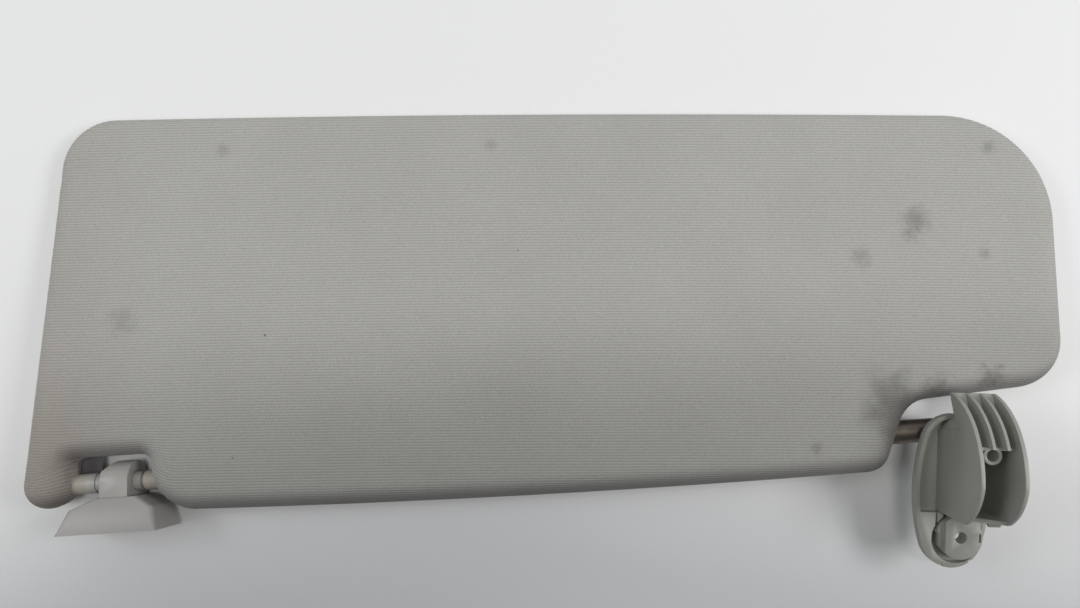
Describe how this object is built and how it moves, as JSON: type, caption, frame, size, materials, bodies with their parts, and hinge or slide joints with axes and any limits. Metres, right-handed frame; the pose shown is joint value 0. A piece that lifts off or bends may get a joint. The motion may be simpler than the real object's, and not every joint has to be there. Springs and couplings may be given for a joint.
{
  "type": "car sun visor",
  "caption": "Flat padded car sun visor in ribbed fabric, with an L-shaped pivot rod in a finned roof bracket and a swinging roof clip in a notch.",
  "frame": {"origin": "centre of the bracket's fixing hole, on the boss face that seats on the roof", "axes": "+X along the visor's hinge line from the clip to the bracket, +Y to the free edge of the stowed visor, +Z towards the roof"},
  "size_m": [0.446, 0.2104, 0.0555],
  "materials": {
    "visor_fabric": "ribbed knit",
    "foam": "foam",
    "spring_steel": "bright",
    "zinc_steel": "zinc plated",
    "rod_steel": "tarnished",
    "black_plastic": "moulded",
    "beige_plastic": "moulded",
    "grey_plastic": "moulded satin",
    "bracket_plastic": "moulded satin"
  },
  "bodies": {
    "bracket": {"escutcheon": "bracket_plastic", "mount_carrier": "bracket_plastic", "leg_bush": "black_plastic"},
    "arm": {"pivot_rod": "rod_steel", "retaining_ring": "zinc_steel", "spring_washer": "zinc_steel"},
    "visor": {"back_cover": "visor_fabric", "front_cover": "visor_fabric", "back_core": "foam", "front_core": "foam", "wire_frame": "spring_steel", "hinge_housing": "black_plastic", "housing_cap": "black_plastic", "housing_screws": "zinc_steel", "detent_spring": "spring_steel", "rod_bush": "black_plastic", "pin_carrier": "beige_plastic", "clip_pin": "grey_plastic"},
    "clip": {"clip_hook": "grey_plastic", "clip_base": "grey_plastic"}
  },
  "joints": [
    {"name": "arm_swing", "type": "hinge", "parent": "bracket", "child": "arm", "pos_m": [0.0054, 0.042, 0], "axis": [0, 0, 1], "range_deg": [-90, 0]},
    {"name": "visor_tilt", "type": "hinge", "parent": "arm", "child": "visor", "pos_m": [0.0054, 0.042, -0.0155], "axis": [1, 0, 0], "range_deg": [-150, 0]},
    {"name": "clip_turn", "type": "hinge", "parent": "visor", "child": "clip", "pos_m": [-0.3476, 0.042, -0.0155], "axis": [1, 0, 0], "range_deg": [-82, 38]}
  ]
}
